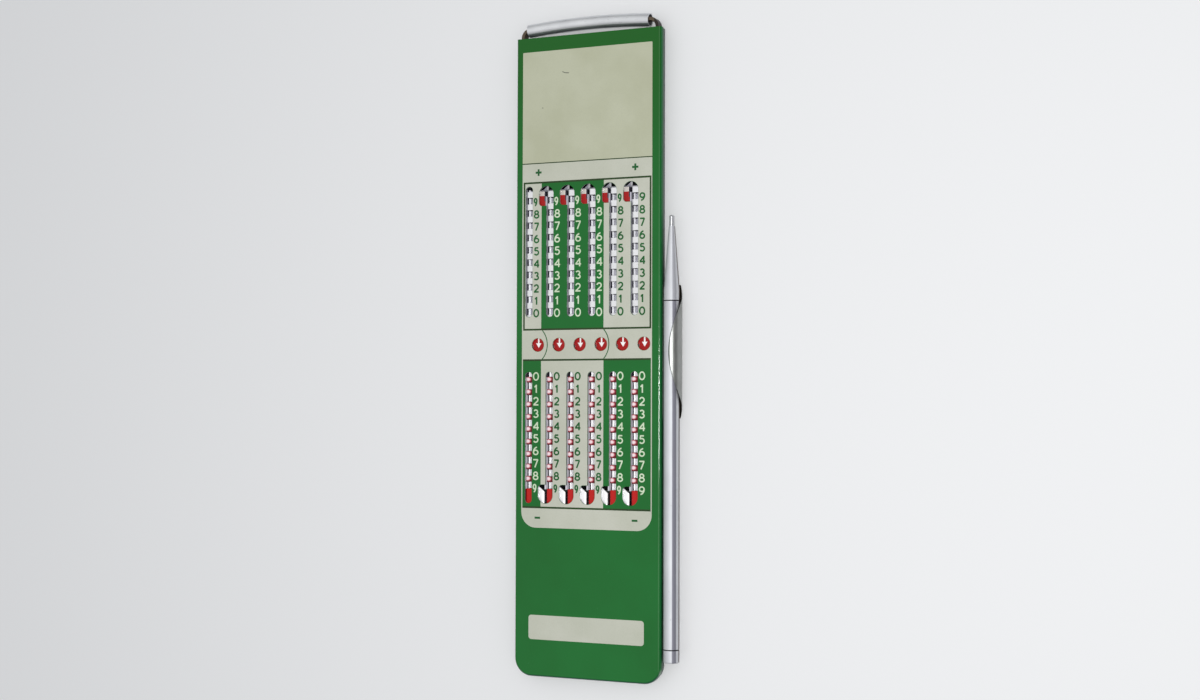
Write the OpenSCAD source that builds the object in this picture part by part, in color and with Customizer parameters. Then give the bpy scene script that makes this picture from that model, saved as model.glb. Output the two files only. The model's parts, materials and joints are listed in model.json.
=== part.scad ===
// Pocket slide adder: six toothed sliders in a sheet-metal case, a bail at the
// top that clears them, and a stylus clipped to the right side.
// X runs across the case, Y along it towards the bail, Z up through its face.
// The case lies on its back, with the middle of the back at the origin.

/* [Case] */
// Width over the lid
case_w = 40.2; // [35:0.1:48]
// Length of the lid
case_l = 162.4; // [140:0.1:190]
// Thickness over lid and tray
case_t = 4.2; // [4.1:0.1:6]
// Sheet thickness of the lid
lid_t = 0.4; // [0.25:0.05:0.45]
// Sheet thickness of the tray
tray_t = 0.4; // [0.25:0.05:0.45]
// Depth of the lid's turned-down rim, from its face
rim_h = 1.4; // [1.3:0.1:1.9]
// Outer radius of the lid's bend
lid_bend_r = 0.6; // [0.5:0.05:0.62]
// Outer radius of the tray's bend
tray_bend_r = 0.7; // [0.5:0.05:0.9]
// Radius of the lid's two lower corners
corner_r = 4.5; // [3:0.5:8]
// Play between the lid and the tray inside it
lid_gap = 0.05; // [0.02:0.01:0.08]

/* [Scale] */
// Length of the case beyond the sliders' lowest place, counted at both ends
end_room = 12.775; // [12:0.005:20]
// Space between the sliders' upper ends and the case's upper end
head_room = 2.375; // [1:0.005:4]
// Pitches from the upper bank's zero down to the lower bank's zero
bank_steps = 5; // [4:1:5]
// Pitches from the upper bank's zero down to the result windows
window_steps = 2.7; // [2.5:0.05:2.9]
// Highest digit's place beyond each zero, in pitches: the carry stop
top_level = 10; // [10:1:10]

/* [Openings] */
// Width of the stylus slots
slot_w = 2; // [1.6:0.05:2.1]
// Distance of a slot's left edge from its slider's left edge
slot_inset = 0.04; // [0:0.01:0.1]
// How far an upper slot runs past its highest place
upper_over = 0.45; // [0.3:0.05:0.6]
// How far an upper slot runs past its zero
upper_under = 1.4; // [1:0.05:1.6]
// How far a lower slot runs past its lowest place
lower_over = 1.4; // [1:0.05:1.6]
// How far a lower slot runs past its zero
lower_under = 0.4; // [0.3:0.05:0.6]
// Distance of a carry hook's left edge from the root of the teeth under it
hook_inset = 0.04; // [0:0.01:0.1]
// Length of the upper carry hooks
upper_hook_l = 5.05; // [4.5:0.05:5.5]
// Length of the lower carry hooks
lower_hook_l = 4.75; // [4.5:0.05:5.5]
// Corner radius at the foot of a hook
hook_r = 0.9; // [0.5:0.05:1.2]
// Diameter of the result windows
window_d = 3.4; // [3:0.05:3.5]
// Distance of a window's right edge from its slider's right edge
window_inset = 0.05; // [0:0.01:0.1]

/* [Sliders] */
// Height of a slider's channel section
slider_h = 2.7; // [2.2:0.05:2.75]
// Sheet thickness of a slider
slider_t = 0.4; // [0.3:0.05:0.5]
// Outer bend radius of a slider
slider_r = 0.5; // [0.3:0.05:0.6]
// Play between a slider and the wall on each side
side_gap = 0.1; // [0.06:0.01:0.14]
// Play between a slider and the lid
face_gap = 0.1; // [0.06:0.01:0.14]
// Length of the gap between two teeth
tooth_gap = 1.7; // [1.5:0.05:1.9]
// Depth of the teeth on the left edge
left_depth = 2.2; // [1.9:0.05:2.25]
// Depth of the teeth on the right edge
right_depth = 1.6; // [1.3:0.05:1.65]
// Drop of the shoulder below the lowest gap of the right edge, from root to edge
shoulder_drop = 0.85; // [0.3:0.05:1.2]
// Pitches that a slider moves from its upper stop to its lower one
travel_steps = 11; // [11:1:11]
// Length of a slider above its highest gap, in pitches
head_steps = 0.5; // [0.4:0.05:0.6]
// Length of a slider below the slots' lower ends
slider_tail = 0.3; // [0.2:0.05:0.6]
// Play between a slider at rest and its upper stop
stop_gap = 0.1; // [0.05:0.01:0.2]

/* [Guide] */
// Sheet thickness of the guide plate's floor
guide_t = 0.3; // [0.2:0.05:0.35]
// Thickness of the walls between the sliders
wall_t = 0.3; // [0.2:0.02:0.34]
// Play between the guide plate and the bail beside it
guide_gap = 0.51; // [0.25:0.01:0.7]
// Length of the break in a wall at its upper hook
wall_break = 2.95; // [2.5:0.05:3.5]
// How far that break runs past the hook's end
break_over = 0.3; // [0.1:0.05:0.5]
// How far the walls end above the slots' lower ends
wall_short = 3.6; // [2.3:0.05:4]
// Thickness of the brake spring
spring_t = 0.2; // [0.1:0.05:0.25]
// Width of a brake finger
finger_w = 1.3; // [0.9:0.1:1.4]
// Length of a brake finger
finger_l = 16; // [12:0.5:20]
// Length of a finger's flat foot
finger_foot = 1.6; // [1:0.1:3]
// Length of a finger's flat tip
finger_tip = 2.4; // [1:0.1:4]
// Width of the strip that joins the fingers
spine_w = 4; // [3:0.5:6]
// Height of the joining strip's middle above the middle of the case
spring_y = 20; // [17:0.5:26]
// Clearance round the brake spring
spring_gap = 0.1; // [0.05:0.01:0.12]

/* [Clearing bail] */
// Thickness of the steel strip
strip_t = 0.8; // [0.6:0.05:0.85]
// Width of the steel strip
strip_w = 2.2; // [1.4:0.05:2.3]
// Play between the strip and the tray's side
strip_gap = 0.15; // [0.1:0.01:0.25]
// Play between the strip and the lid
strip_drop = 0.3; // [0.2:0.05:0.5]
// Inner radius of the strip's bend
strip_r = 1.6; // [1.2:0.1:1.8]
// Height of the strip's cross part above the case's end
bail_rise = 2.35; // [2.15:0.05:3.5]
// Diameter of the grip tube
grip_d = 3.25; // [3.1:0.05:3.5]
// Bore of the grip tube
grip_bore = 2.75; // [2.65:0.01:2.85]
// Width of the strip left free beyond each end of the grip tube
grip_end = 2.2; // [2:0.05:5]
// Shift of the grip tube to the left
grip_shift = 0.45; // [0:0.05:0.6]
// Bow of the grip tube over its length
grip_bow = 0.75; // [0.5:0.05:0.9]
// Length of strip inside each end of the grip tube
strip_in = 2.6; // [1.5:0.1:3]
// Thickness of the bar that pushes the sliders
bar_t = 1.5; // [1:0.1:2.5]
// Gap between the bar and the sliders
bar_gap = 0.3; // [0.2:0.05:0.5]
// Diameter of the rivets that hold the bar
rivet_d = 0.8; // [0.6:0.05:1]
// Diameter of a rivet's sunk head
rivet_head_d = 1.3; // [1.1:0.05:1.4]
// Length of a rivet
rivet_l = 2.6; // [2:0.1:5]

/* [Stylus] */
// Diameter of the stylus
stylus_d = 3.9; // [3.6:0.05:4.0]
// Length of the stylus
stylus_l = 110; // [100:1:130]
// Height of the stylus's lower end above the case's lower end
stylus_rise = 5.5; // [0:0.1:15]
// Diameter of the tip
tip_d = 1.15; // [0.9:0.05:1.3]
// Length of the tip outside the nose
tip_l = 2.7; // [2:0.1:4]
// Diameter of the nose where the tip leaves it
nose_d = 1.45; // [1.35:0.05:2]
// Length of the tapered nose
nose_l = 15.9; // [12:0.1:20]
// Length of the nose's straight collar
collar_l = 2.6; // [2:0.1:6]
// Length of the tip inside the nose
tip_hold = 4; // [2:0.5:8]
// Length of the end cap
cap_l = 3.2; // [2:0.1:6]
// Edge radius of the cap's end
cap_round = 0.35; // [0.1:0.05:0.8]
// Bore of the barrel
barrel_bore = 2.6; // [2.2:0.05:2.8]
// Length of the spigots that fit in the barrel
spigot_l = 4; // [2:0.5:6]
// Chamfer at the joints of the stylus
joint_chamfer = 0.15; // [0.1:0.01:0.2]
// Play of the spigots in the barrel, of the tip in the nose and of the bar's rivets
press_gap = 0.02; // [0.01:0.005:0.04]

/* [Clip] */
// Sheet thickness of the clip
clip_t = 0.5; // [0.3:0.05:0.6]
// Play between the clip and the stylus
clip_gap = 0.1; // [0.05:0.01:0.1]
// Length of the clip's foot along the case
clip_l = 33; // [25:0.5:40]
// Length of the clip's tongue where it starts to narrow
tongue_l = 26; // [20:0.5:33]
// Height of the clip's middle above the middle of the case
clip_y = 0.6; // [-5:0.1:5]
// Distance of the stylus from the clip's leg
leg_gap = 0.3; // [0.2:0.05:0.8]
// Height of the clip's lowest face above the case's back
clip_lift = 0.05; // [0:0.01:0.2]
// How far the clip's curl runs past the stylus's top, in degrees
curl_over = 8; // [0:1:20]
// Depth below the stylus's axis at which the clip's ends have drawn in to the tongue
flare_drop = 0.75; // [0.3:0.05:1.2]
// Distance before the stylus's axis at which the tongue starts to narrow, on its slope
tongue_base = 2.2; // [1.8:0.05:2.4]
// Distance past the stylus's axis at which the tongue ends, on its slope
tongue_tip = 1.5; // [1.2:0.05:2.2]

/* [Hidden] */
$fn = 48;

columns = 6;
cut = 1;                 // how far a cutter stands out of what it cuts
lap = 0.01;              // how far the joined shapes of one piece overlap

// Case
top_y = case_l / 2;
bottom_y = -case_l / 2;
tray_inset = lid_t + lid_gap;
tray_w = case_w - 2 * tray_inset;
tray_bottom_y = bottom_y + tray_inset;
tray_top_z = case_t - lid_t - lid_gap;

// Columns, set by the room between the bail's legs
leg_room = tray_t + strip_gap + strip_t + guide_gap;
guide_w = tray_w - 2 * leg_room;
column = (guide_w - wall_t) / columns;
slider_w = column - wall_t - 2 * side_gap;
inner_r = max(slider_r - slider_t, lap);

// Scale, set by the length of the case
slider_steps = bank_steps + 2 * top_level + travel_steps + head_steps;
pitch = (case_l - end_room) / (slider_steps + travel_steps);
travel = travel_steps * pitch;
slider_y1 = top_y - head_room;
upper_zero = slider_y1 - (top_level + travel_steps + head_steps) * pitch;
lower_zero = upper_zero - bank_steps * pitch;
window_y = upper_zero - window_steps * pitch;
upper_end = upper_zero + top_level * pitch + upper_over;
lower_end = lower_zero - top_level * pitch - lower_over;
slider_y0 = lower_end - slider_tail;
slider_top_z = case_t - lid_t - face_gap;

// Tooth gaps, counted in pitches from the upper bank's zero
lowest_gap = -bank_steps - top_level + 1;
highest_gap = top_level + travel_steps - 1;
upper_right_gap = top_level;
lower_right_gap = lowest_gap + travel_steps - 1;

// Openings, placed over the slider's edges
slot_off = (slot_w - slider_w) / 2 + slot_inset;
hook_w = column - slider_w + right_depth + slot_inset - hook_inset;
window_off = (slider_w - window_d) / 2 - window_inset;

// Guide walls
guide_top_z = tray_t + guide_t;
wall_top_z = case_t - lid_t - lid_gap;
wall_y0 = lower_end + wall_short;
wall_y1 = slider_y1 + stop_gap;

// Clearing bail
leg_x = tray_w / 2 - tray_t - strip_gap - strip_t / 2;
bend_mid_r = strip_r + strip_t / 2;
strip_z = case_t - lid_t - strip_drop - strip_w / 2;
strip_y = top_y + bail_rise;
bar_y1 = slider_y0 - travel - bar_gap;
bar_y0 = bar_y1 - bar_t;
grip_l = 2 * (leg_x + strip_t / 2 - grip_end);
bow_r = (pow(grip_l / 2, 2) + pow(grip_bow, 2)) / (2 * grip_bow);
bow_angle = 2 * asin(grip_l / 2 / bow_r);
seat_x = grip_l / 2 - strip_in / 2;
grip_y = strip_y - sqrt(pow(bow_r, 2) - pow(seat_x, 2));

// Stylus and clip
stylus_r = stylus_d / 2;
clip_in_r = stylus_r + clip_gap;
clip_out_r = clip_in_r + clip_t;
clip_leg_x = tray_w / 2;
stylus_x = clip_leg_x + clip_t + leg_gap + stylus_r;
stylus_z = clip_lift + clip_out_r;
stylus_end_y = bottom_y + stylus_rise;
stylus_y = stylus_end_y + stylus_l;
nose_y = stylus_y - tip_l;
collar_y = nose_y - nose_l - collar_l;
cap_y = stylus_end_y + cap_l;

function column_x(i) = (i - (columns + 1) / 2) * column;
function slot_x(i) = column_x(i) + slot_off;
function gap_y(k) = upper_zero + k * pitch;

// Edge of a pan, from the middle of its corner out: floor, bend and rim
module edge_section(r, bend, depth, t) {
  difference() {
    union() {
      translate([0, depth - t]) square([r - bend, t]);
      translate([r - bend, depth - bend]) circle(bend);
      translate([r - t, 0]) square([t, depth - bend]);
    }
    translate([0, -cut]) square([r - t, depth - bend + cut]);
    translate([0, -cut]) square([r - bend, depth - t + cut]);
    translate([r - bend, depth - bend]) circle(bend - t);
  }
}

// Sheet pan, face up, with a rim on three sides and round lower corners
module pan(w, y0, r, bend, depth, t) {
  inner_w = w - 2 * r;
  translate([-inner_w / 2, y0 + r, depth - t]) cube([inner_w, top_y - y0 - r, t]);
  for (side = [0, 1]) mirror([side, 0, 0]) {
    translate([inner_w / 2, top_y, 0]) rotate([90, 0, 0])
      linear_extrude(top_y - y0 - r) edge_section(r, bend, depth, t);
    translate([inner_w / 2, y0 + r, 0]) rotate([0, 0, -90])
      rotate_extrude(angle = 90) edge_section(r, bend, depth, t);
  }
  translate([-inner_w / 2, y0 + r, 0]) rotate([0, 0, -90]) rotate([90, 0, 0])
    mirror([0, 0, 1]) linear_extrude(inner_w) edge_section(r, bend, depth, t);
}

// Plan of one slot, drawn upwards from its foot, with its hook if hook_l isn't zero
module slot_plan(length, hook_l) {
  r = slot_w / 2;
  translate([0, r]) circle(r);
  if (hook_l > 0) {
    arch_r = (slot_w + hook_w) / 2;
    arch_y = length - arch_r;
    foot_y = length - hook_l;
    translate([-r, r]) square([slot_w, arch_y - r]);
    translate([r - arch_r, arch_y]) circle(arch_r);
    translate([-r - hook_w, foot_y + hook_r]) square([hook_w + r, hook_l - hook_r - arch_r]);
    translate([-r - hook_w + hook_r, foot_y]) square([hook_w - hook_r + r, hook_r + lap]);
    translate([-r - hook_w + hook_r, foot_y + hook_r]) circle(hook_r);
  } else {
    translate([-r, r]) square([slot_w, length - 2 * r]);
    translate([0, length - r]) circle(r);
  }
}

// All the openings in the lid
module lid_openings() {
  upper_foot = upper_zero - upper_under;
  lower_foot = lower_zero + lower_under;
  for (i = [1:columns]) {
    translate([slot_x(i), upper_foot])
      slot_plan(upper_end - upper_foot, i > 1 ? upper_hook_l : 0);
    translate([slot_x(i), lower_foot]) mirror([0, 1])
      slot_plan(lower_foot - lower_end, i > 1 ? lower_hook_l : 0);
    translate([column_x(i) + window_off, window_y]) circle(window_d / 2);
  }
}

module front_cover() {
  color([0.15, 0.42, 0.22])
  translate([0, 0, case_t - rim_h])
  difference() {
    pan(case_w, bottom_y, corner_r, lid_bend_r, rim_h, lid_t);
    translate([0, 0, -cut]) linear_extrude(rim_h + 2 * cut) lid_openings();
  }
}

module back_cover() {
  tab_w = guide_w;
  color([0.62, 0.64, 0.64]) {
    translate([0, 0, tray_top_z]) mirror([0, 0, 1])
      pan(tray_w, tray_bottom_y, corner_r - tray_inset, tray_bend_r, tray_top_z, tray_t);
    translate([-tab_w / 2, top_y - tray_t, tray_t])
      cube([tab_w, tray_t, tray_top_z - tray_t]);
  }
}

// One wall between two sliders, with its break at the upper hook
module guide_wall(x, broken) {
  break_y = upper_end + break_over;
  height = wall_top_z - guide_top_z;
  difference() {
    translate([x - wall_t / 2, wall_y0, guide_top_z])
      cube([wall_t, wall_y1 - wall_y0, height]);
    if (broken)
      translate([x - wall_t, break_y - wall_break, guide_top_z])
        cube([2 * wall_t, wall_break, height + cut]);
    translate([x - wall_t, spring_y - spine_w / 2 - spring_gap, guide_top_z])
      cube([2 * wall_t, spine_w + 2 * spring_gap, spring_t + spring_gap]);
  }
}

module guide_plate() {
  color([0.75, 0.76, 0.77]) {
    translate([-guide_w / 2, wall_y0, tray_t])
      cube([guide_w, wall_y1 + guide_t - wall_y0, guide_t]);
    translate([-guide_w / 2, wall_y1, guide_top_z])
      cube([guide_w, guide_t, wall_top_z - guide_top_z]);
    for (k = [0:columns])
      guide_wall((k - columns / 2) * column, k > 0 && k < columns);
  }
}

// Side view of one brake finger: flat foot, slope, flat tip
module finger_plan() {
  rise = slider_top_z - slider_t - spring_gap - spring_t - guide_top_z;
  tip_y = finger_l - finger_tip;
  polygon([[0, 0], [finger_foot, 0], [tip_y, rise], [finger_l, rise],
           [finger_l, rise + spring_t], [tip_y, rise + spring_t],
           [finger_foot, spring_t], [0, spring_t]]);
}

module brake_spring() {
  length = guide_w - 2 * wall_t - 2 * spring_gap;
  finger_off = slider_w / 2 - right_depth - finger_w - spring_gap;
  color([0.55, 0.5, 0.4]) {
    translate([-length / 2, spring_y - spine_w / 2, guide_top_z])
      cube([length, spine_w, spring_t]);
    for (i = [1:columns])
      translate([column_x(i) + finger_off, spring_y - spine_w / 2 + lap, guide_top_z])
        rotate([90, 0, -90]) mirror([0, 0, 1]) linear_extrude(finger_w) finger_plan();
  }
}

// Cross-section of a slider: a channel with rounded upper edges
module slider_section(w, h, r) {
  translate([-w / 2, -h]) square([w, h - r]);
  translate([-w / 2 + r, -h]) square([w - 2 * r, h]);
  for (side = [-1, 1]) translate([side * (w / 2 - r), -r]) circle(r);
}

module slider(i) {
  length = slider_y1 - slider_y0;
  inner_w = slider_w - 2 * slider_t;
  color([0.86, 0.87, 0.88])
  difference() {
    translate([column_x(i), slider_y1, slider_top_z]) rotate([90, 0, 0])
      linear_extrude(length) difference() {
        slider_section(slider_w, slider_h, slider_r);
        translate([0, -slider_t])
          slider_section(inner_w, slider_h, inner_r);
      }
    for (k = [lowest_gap:highest_gap])
      translate([column_x(i) - slider_w / 2 - cut, gap_y(k) - tooth_gap / 2, 0])
        cube([cut + left_depth, tooth_gap, case_t]);
    for (k = [lowest_gap:lower_right_gap], zone = [0, 1])
      translate([column_x(i) + slider_w / 2 - right_depth,
                 gap_y(zone == 0 ? k : k - lowest_gap + upper_right_gap) - tooth_gap / 2, 0])
        cube([cut + right_depth, tooth_gap, case_t]);
    translate([column_x(i) + slider_w / 2 - right_depth,
               gap_y(lowest_gap) - tooth_gap / 2, 0])
      linear_extrude(case_t)
        polygon([[0, 0], [right_depth, -shoulder_drop], [right_depth + cut, -shoulder_drop],
                 [right_depth + cut, lap], [0, lap]]);
  }
}

// Right-hand rivet with a sunk head, flush with the leg's outer side, or its hole,
// which is bigger by gap all round and open at the outside
module bar_rivet(gap = 0) {
  r = rivet_d / 2 + gap;
  head_r = rivet_head_d / 2 + gap;
  sink = (rivet_head_d - rivet_d) / 2;
  end = rivet_l + gap;
  mouth = gap > 0 ? [[0, -cut], [head_r, -cut]] : [[0, 0]];
  translate([leg_x + strip_t / 2, bar_y0 + bar_t / 2, strip_z]) rotate([0, -90, 0])
    rotate_extrude()
      polygon(concat(mouth, [[head_r, 0], [r, sink], [r, end], [0, end]]));
}

module bar_rivets() {
  color([0.6, 0.58, 0.52])
    for (side = [0, 1]) mirror([side, 0, 0]) bar_rivet();
}

module clearing_bar() {
  length = 2 * leg_x - strip_t;
  color([0.5, 0.5, 0.48])
  difference() {
    translate([-length / 2, bar_y0, strip_z - strip_w / 2]) cube([length, bar_t, strip_w]);
    for (side = [0, 1]) mirror([side, 0, 0]) bar_rivet(press_gap);
  }
}

// Right-hand leg: straight strip, bend and the part inside the grip tube,
// which reaches in from the tube's end at tube_x
module clearing_leg(tube_x) {
  straight = strip_y - bend_mid_r - bar_y0;
  tail = leg_x - bend_mid_r - tube_x + strip_in;
  color([0.45, 0.41, 0.36]) difference() {
    translate([0, 0, strip_z - strip_w / 2]) {
      translate([leg_x - strip_t / 2, bar_y0, 0]) cube([strip_t, straight, strip_w]);
      translate([leg_x - bend_mid_r, strip_y - bend_mid_r, 0])
        rotate_extrude(angle = 90)
          translate([strip_r, 0]) square([strip_t, strip_w]);
      translate([leg_x - bend_mid_r - tail, strip_y - strip_t / 2, 0])
        cube([tail, strip_t, strip_w]);
    }
    bar_rivet(press_gap);
  }
}

module grip_tube() {
  color([0.83, 0.84, 0.85])
    translate([-grip_shift, grip_y, strip_z])
      rotate([0, 0, 90 - bow_angle / 2])
        rotate_extrude(angle = bow_angle, $fn = 360)
          translate([bow_r, 0]) difference() {
            circle(grip_d / 2, $fn = 48);
            circle(grip_bore / 2, $fn = 48);
          }
}

// Turns a profile of radius against length, with length along +Y
module turned() {
  translate([stylus_x, 0, stylus_z]) rotate([-90, 0, 0]) rotate_extrude() children();
}

module stylus_tip() {
  r = tip_d / 2;
  color([0.8, 0.81, 0.82]) {
    turned() translate([0, nose_y - tip_hold]) square([r, tip_hold + tip_l - r / 2]);
    turned() polygon([[0, stylus_y - r / 2], [r, stylus_y - r / 2], [r / 2, stylus_y],
                      [0, stylus_y]]);
  }
}

module stylus_nose() {
  c = joint_chamfer;
  r = stylus_r;
  spigot_r = barrel_bore / 2 - press_gap;
  hole_r = tip_d / 2 + press_gap;
  hole_y = nose_y - tip_hold - press_gap;
  color([0.82, 0.83, 0.84])
    turned() polygon([[0, collar_y - spigot_l], [spigot_r, collar_y - spigot_l],
                      [spigot_r, collar_y], [r - c, collar_y], [r, collar_y + c],
                      [r, collar_y + collar_l], [nose_d / 2, nose_y],
                      [hole_r, nose_y], [hole_r, hole_y], [0, hole_y]]);
}

module stylus_barrel() {
  c = joint_chamfer;
  r = stylus_r;
  bore_r = barrel_bore / 2;
  color([0.84, 0.85, 0.86])
    turned() polygon([[bore_r, cap_y], [r - c, cap_y], [r, cap_y + c], [r, collar_y - c],
                      [r - c, collar_y], [bore_r, collar_y]]);
}

module stylus_cap() {
  c = joint_chamfer;
  r = stylus_r;
  spigot_r = barrel_bore / 2 - press_gap;
  end_r = r - cap_round;
  y = stylus_end_y + cap_round;
  rounding = [for (a = [0:15:90]) [end_r + cap_round * sin(a), y - cap_round * cos(a)]];
  color([0.82, 0.83, 0.84])
    turned() polygon(concat([[0, stylus_end_y]], rounding,
                            [[r, cap_y - c], [r - c, cap_y], [spigot_r, cap_y],
                             [spigot_r, cap_y + spigot_l], [0, cap_y + spigot_l]]));
}

// Cross-section of the clip: leg on the tray's side, floor, curl over the stylus
module clip_section() {
  leg_top = case_t - rim_h - clip_gap;
  floor_l = stylus_x - clip_leg_x;
  difference() {
    translate([stylus_x, stylus_z]) circle(clip_out_r);
    translate([stylus_x, stylus_z]) circle(clip_in_r);
    translate([stylus_x, stylus_z]) rotate(90 + curl_over)
      square(2 * clip_out_r);
    translate([stylus_x - 2 * clip_out_r, stylus_z - 2 * clip_out_r])
      square([2 * clip_out_r, 2 * clip_out_r]);
  }
  translate([clip_leg_x, clip_lift]) square([floor_l + lap, clip_t]);
  translate([clip_leg_x, clip_lift]) square([clip_t, leg_top - clip_lift]);
}

// Outline of the tongue, seen square to its slope: a parabola with its peak at the tip
module tongue_plan() {
  steps = 12;
  reach = tongue_base + tongue_tip;
  edge = [for (n = [-steps:steps])
            [tongue_l / 2 * n / steps, tongue_tip - reach * pow(n / steps, 2)]];
  base = -clip_out_r - cut;
  polygon(concat(edge, [[tongue_l / 2, base], [-tongue_l / 2, base]]));
}

module stylus_clip() {
  flare_z = stylus_z - flare_drop;
  color([0.56, 0.57, 0.55])
  intersection() {
    translate([0, clip_y + clip_l / 2, 0])
      rotate([90, 0, 0]) linear_extrude(clip_l) clip_section();
    union() {
      // leg and floor keep their full length, and narrow as the curl rises
      translate([clip_leg_x - cut, clip_y, 0]) rotate([90, 0, 90])
        linear_extrude(stylus_x - clip_leg_x + cut)
          translate([-clip_l / 2, -cut]) square([clip_l, case_t + cut]);
      translate([stylus_x - cut, clip_y, 0]) rotate([90, 0, 90])
        linear_extrude(2 * clip_out_r)
          polygon([[-clip_l / 2, -cut], [clip_l / 2, -cut], [clip_l / 2, clip_lift + clip_t],
                   [tongue_l / 2, flare_z], [-tongue_l / 2, flare_z],
                   [-clip_l / 2, clip_lift + clip_t]]);
      // tongue, cut at 45 degrees to the case
      translate([stylus_x, clip_y, stylus_z]) rotate([0, -45, 0]) rotate([90, 0, 90])
        translate([0, 0, -clip_out_r]) linear_extrude(3 * clip_out_r) tongue_plan();
    }
  }
}

front_cover();
back_cover();
guide_plate();
brake_spring();
slider(1);  // slider_1
slider(2);  // slider_2
slider(3);  // slider_3
slider(4);  // slider_4
slider(5);  // slider_5
slider(6);  // slider_6
clearing_bar();
bar_rivets();
mirror([1, 0, 0]) clearing_leg(grip_l / 2 + grip_shift);  // clearing_leg_left
clearing_leg(grip_l / 2 - grip_shift);  // clearing_leg_right
grip_tube();
stylus_clip();
stylus_tip();
stylus_nose();
stylus_barrel();
stylus_cap();
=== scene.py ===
import json
import math

import bmesh
import bpy
import numpy as np
from mathutils import Matrix, Vector


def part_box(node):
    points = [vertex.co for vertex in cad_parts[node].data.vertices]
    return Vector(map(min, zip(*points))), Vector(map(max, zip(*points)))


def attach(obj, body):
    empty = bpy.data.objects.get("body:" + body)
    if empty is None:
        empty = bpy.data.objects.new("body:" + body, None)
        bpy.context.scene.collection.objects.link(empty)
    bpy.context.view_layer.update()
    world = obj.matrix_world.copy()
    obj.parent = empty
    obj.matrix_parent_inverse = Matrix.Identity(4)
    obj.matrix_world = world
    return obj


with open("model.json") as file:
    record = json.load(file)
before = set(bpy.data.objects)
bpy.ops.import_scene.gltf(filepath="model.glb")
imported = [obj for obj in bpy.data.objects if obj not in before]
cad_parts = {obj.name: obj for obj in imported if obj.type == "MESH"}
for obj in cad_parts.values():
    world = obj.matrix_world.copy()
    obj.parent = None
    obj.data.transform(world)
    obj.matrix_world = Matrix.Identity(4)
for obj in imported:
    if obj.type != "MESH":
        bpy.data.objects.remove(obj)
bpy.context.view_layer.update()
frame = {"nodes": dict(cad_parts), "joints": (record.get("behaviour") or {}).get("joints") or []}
nodes = frame["nodes"]
mm = 0.001


def nodeBox(name):
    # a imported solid's lowest and highest corner, in millimetres
    low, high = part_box(name)
    return np.array(low) / mm, np.array(high) / mm


# The openings of the lid, which the printing follows: lengths in millimetres, steps in digit pitches.
# A slot runs over its outermost place and under its 0 by the lengths given for its bank.
slotPlan = {
    "travelSteps": 11,          # a slider's whole travel
    "headSteps": 0.5,           # the end of a slider over its last gap
    "topLevel": 10,             # the outermost place of a bank, counted from its 0
    "bankSteps": 5,             # from one bank's 0 to the other's
    "windowSteps": 2.7,         # from the upper bank's 0 to the windows
    "width": 2.0,
    "inset": 0.04,              # from the slider's left edge to the slot's
    "hookInset": 0.04,          # from the foot of the neighbour's gaps to the hook's left edge
    "rightDepth": 1.6,          # of the gaps in a slider's right edge
    "upperOver": 0.45,
    "upperUnder": 1.4,
    "lowerOver": 1.4,
    "lowerUnder": 0.4,
    "upperHook": 5.05,
    "lowerHook": 4.75,
    "footRadius": 0.9,
    "windowDiameter": 3.4,
    "windowInset": 0.05,
}

lidHigh = nodeBox("front_cover")[1]
faceZ = lidHigh[2]
sliderNames = [f"slider_{i}" for i in range(1, 7)]
sliderBoxes = [nodeBox(name) for name in sliderNames]
columnX = [(low[0] + high[0]) / 2 for low, high in sliderBoxes]
column = columnX[1] - columnX[0]
sliderWidth = sliderBoxes[0][1][0] - sliderBoxes[0][0][0]
sliderTop = sliderBoxes[0][1][2]
travel = -next(j["range_m"][0] for j in frame["joints"] if j["child"] == "slider_1") / mm
pitch = travel / slotPlan["travelSteps"]
upperZero = sliderBoxes[0][1][1] - pitch * (
    slotPlan["topLevel"] + slotPlan["travelSteps"] + slotPlan["headSteps"])
lowerZero = upperZero - slotPlan["bankSteps"] * pitch
windowY = upperZero - slotPlan["windowSteps"] * pitch
slotOffset = (slotPlan["width"] - sliderWidth) / 2 + slotPlan["inset"]
hookWidth = column - sliderWidth + slotPlan["rightDepth"] + slotPlan["inset"] - slotPlan["hookInset"]
windowOffset = (sliderWidth - slotPlan["windowDiameter"]) / 2 - slotPlan["windowInset"]
print("frame read: pitch", round(pitch, 3), "column", round(column, 3))


def arc(cx, cy, rx, ry, start, stop, count=24):
    # points of an ellipse: centre plus (rx cos a, ry sin a), with a from start to stop in degrees
    angle = np.radians(np.linspace(start, stop, count))
    return np.stack([cx + rx * np.cos(angle), cy + ry * np.sin(angle)], 1)


def roundBox(x0, x1, y0, y1, lower, upper):
    # a rectangle whose corners are quarter circles: one radius below, one above
    return np.concatenate([
        arc(x0 + lower, y0 + lower, lower, lower, 180, 270, 10),
        arc(x1 - lower, y0 + lower, lower, lower, 270, 360, 10),
        arc(x1 - upper, y1 - upper, upper, upper, 0, 90, 10),
        arc(x0 + upper, y1 - upper, upper, upper, 90, 180, 10)])


def slotOutline(x, foot, length, hook, direction, grow):
    # once round a slot from its round foot: up the right side, over the end, down the left side;
    # with a hook the end is a wider arch, whose left leg has a round foot of its own
    r = slotPlan["width"] / 2
    if hook:
        archR = (2 * r + hookWidth) / 2
        footR = slotPlan["footRadius"]
        points = np.concatenate([
            arc(0, r, r + grow, r + grow, 180, 360),
            arc(r - archR, length - archR, archR + grow, archR + grow, 0, 180, 40),
            arc(-r - hookWidth + footR, length - hook + footR, footR + grow, footR + grow, 180, 270, 12),
            [[-r - grow, length - hook - grow]]])
    else:
        points = np.concatenate([
            arc(0, r, r + grow, r + grow, 180, 360),
            arc(0, length - r, r + grow, r + grow, 0, 180)])
    return points * [1, direction] + [x, foot]


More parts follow.
